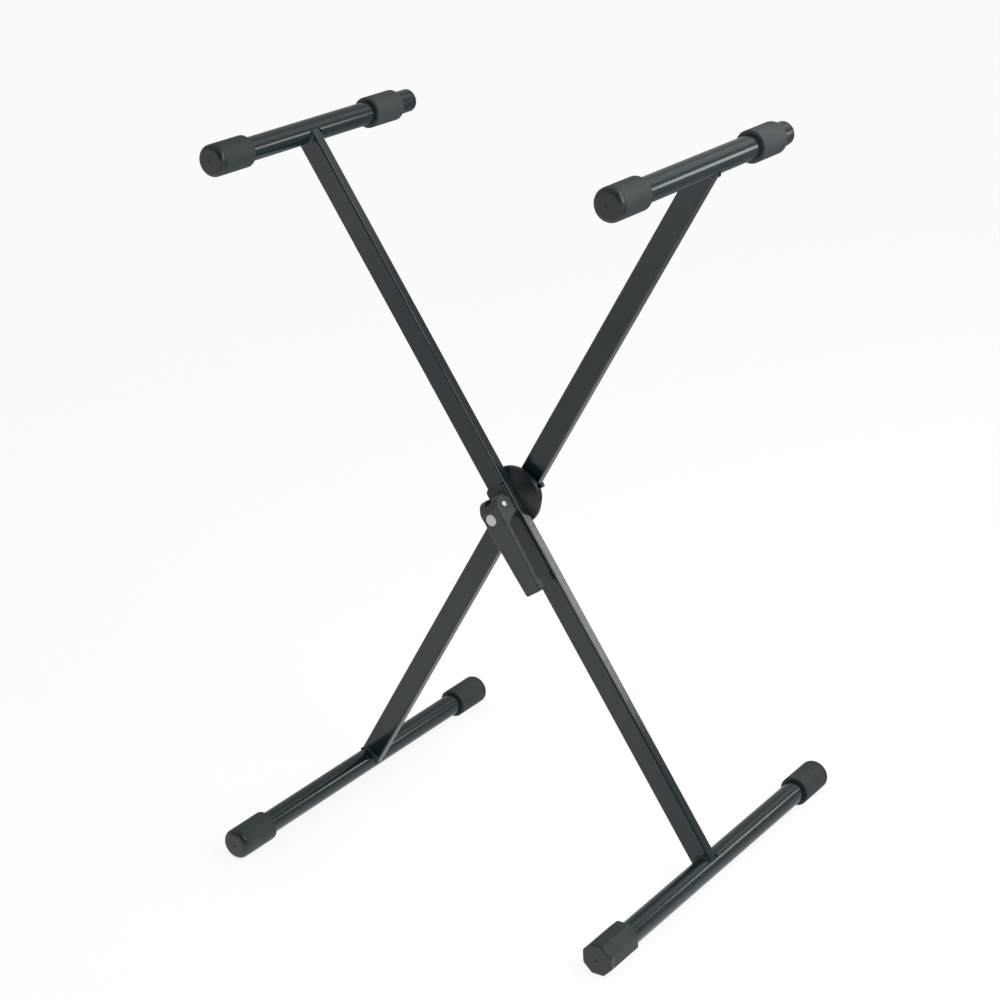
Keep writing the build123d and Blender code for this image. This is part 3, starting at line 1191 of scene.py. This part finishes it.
def white_room():
    """Softly lit room all round, but for a dim corner in front on the right."""
    world = bpy.data.worlds.new("room")
    world.use_nodes = True
    bpy.context.scene.world = world
    tree = world.node_tree
    axes = split_axes(tree, tree.nodes.new("ShaderNodeTexCoord").outputs["Generated"])
    to_right = spread(tree, axes["X"], 0.0, 1.0, -0.1, 0.1)
    to_front = spread(tree, axes["Y"], 1.0, 0.0, -0.1, 0.1)
    is_low = spread(tree, axes["Z"], 1.0, 0.0, 0.75, 0.95)
    corner = arithmetic(tree, "MULTIPLY", arithmetic(tree, "MULTIPLY", to_right, to_front), is_low)
    level = arithmetic(tree, "MULTIPLY", arithmetic(tree, "SUBTRACT", 1.0, corner), room_level)
    room = tree.nodes["Background"]
    room.inputs["Color"].default_value = (1, 1, 1, 1)
    tree.links.new(level, room.inputs["Strength"])
    white = tree.nodes.new("ShaderNodeBackground")
    white.inputs["Color"].default_value = (1, 1, 1, 1)
    white.inputs["Strength"].default_value = backdrop_level
    shown = seen_white(tree, room.outputs["Background"], white.outputs["Background"])
    tree.links.new(shown, tree.nodes["World Output"].inputs["Surface"])


def stepped_level(tree, reach, levels):
    """Brightness that changes with distance from the stand; levels are (metres, value)."""
    far = levels[-1][0]
    ramp = tree.nodes.new("ShaderNodeValToRGB")
    ramp.color_ramp.interpolation = "EASE"
    stops = ramp.color_ramp.elements
    while len(stops) < len(levels):
        stops.new(0.5)
    for stop, (metres, value) in zip(stops, levels):
        stop.position = metres / far
        stop.color = (value, value, value, 1)
    tree.links.new(arithmetic(tree, "DIVIDE", reach, far), ramp.inputs["Fac"])
    return ramp.outputs["Color"]


def floor_glows(tree):
    """What the floor gives off: brighter in front of the stand than behind it."""
    position = object_space(tree)
    reach = tree.nodes.new("ShaderNodeVectorMath")
    reach.operation = "LENGTH"
    tree.links.new(position, reach.inputs[0])
    before = stepped_level(tree, reach.outputs["Value"], (
        (0.0, 0.85), (0.45, 1.0), (0.8, 1.0), (1.2, 0.78), (2.4, 0.72), (3.4, 1.0), (4.0, 1.0),
    ))
    behind = stepped_level(tree, reach.outputs["Value"], (
        (0.0, 0.67), (0.8, 0.66), (1.2, 0.3), (2.4, 0.24), (3.4, 0.4), (4.0, 0.4),
    ))
    mix = tree.nodes.new("ShaderNodeMix")
    mix.data_type = "RGBA"
    is_behind = spread(tree, split_axes(tree, position)["Y"], 0.0, 1.0, -0.2, 0.2)
    tree.links.new(is_behind, mix.inputs["Factor"])
    tree.links.new(before, mix.inputs["A"])
    tree.links.new(behind, mix.inputs["B"])
    return mix.outputs["Result"]


def pale_floor():
    """Wide white disc: seen directly it takes shadows, and in reflections it glows."""
    mesh = bmesh.new()
    bmesh.ops.create_circle(mesh, cap_ends=True, segments=96, radius=floor_radius)
    floor = as_object(mesh, "floor")
    material, tree, shader = new_finish("floor")
    shader.inputs["Base Color"].default_value = (floor_albedo, floor_albedo, floor_albedo, 1)
    shader.inputs["Roughness"].default_value = 0.9
    shader.inputs["Specular IOR Level"].default_value = 0.1
    shader.inputs["Emission Color"].default_value = (1, 1, 1, 1)
    shader.inputs["Emission Strength"].default_value = floor_glow
    glow = tree.nodes.new("ShaderNodeEmission")
    tree.links.new(floor_glows(tree), glow.inputs["Color"])
    shown = seen_white(tree, glow.outputs["Emission"], shader.outputs["BSDF"])
    tree.links.new(shown, tree.nodes["Material Output"].inputs["Surface"])
    floor.data.materials.append(material)


def studio():
    """Soft boxes to the right, above and behind, in a white room."""
    white_room()
    pale_floor()
    middle = (0, 0, 0.5)
    emitter("side_box", 0.34, 0.5, 4.4, (1.5, 1.9, 1.05), middle)
    emitter("top_box", 0.8, 0.8, 3.3, (1.0, 0.7, 1.9), middle)
    emitter("right_box", 0.8, 0.8, 6.6, (1.6, -0.2, 1.5), middle)
    emitter("back_panel", 1.4, 2.4, 0.5, (0.8, 2.2, 2.3), (0.8, 2.21, 0))
    bpy.context.scene.view_settings.view_transform = "Standard"


# ---------------------------------------------------------------- build

finishes = make_finishes()
aim_camera()

for tube in ("arm_tube_left", "arm_tube_right", "floor_tube_left", "floor_tube_right"):
    fine_bar(tube)
for node, tube in (
    ("arm_cap_left", "arm_tube_left"), ("arm_cap_right", "arm_tube_right"),
    ("floor_cap_left_front", "floor_tube_left"), ("floor_cap_left_rear", "floor_tube_left"),
    ("floor_cap_right_rear", "floor_tube_right"),
):
    fine_cap(node, tube)
for side in ("left", "right"):
    fine_sleeve("arm_sleeve_" + side, "arm_tube_" + side)
    fine_plug("arm_plug_" + side, "arm_tube_" + side)
fine_leveller("levelling_cap", "floor_tube_right")
fine_leg("front_leg", front, -leg_offset, bolt_clearance)
fine_leg("rear_leg", rear, leg_offset, bushing_hole)
fine_welds("front_leg_welds", front, -leg_offset)
fine_welds("rear_leg_welds", rear, leg_offset)
fine_front_hub("hub_front")
fine_rear_hub("hub_rear")
fine_bolt("draw_bolt")
fine_washer("flat_washer")
fine_spring("disc_spring")
fine_nut("lock_nut")
fine_saddle("pressure_saddle")
fine_pin("cam_pin")
fine_lever("cam_lever")
fine_badge("lever_badge")

for node in ("friction_disc", "leg_spacer", "pivot_bushing"):
    inner = frame["nodes"][node]
    inner.data.materials.clear()
    inner.data.materials.append(finishes[slots[node]])

studio()
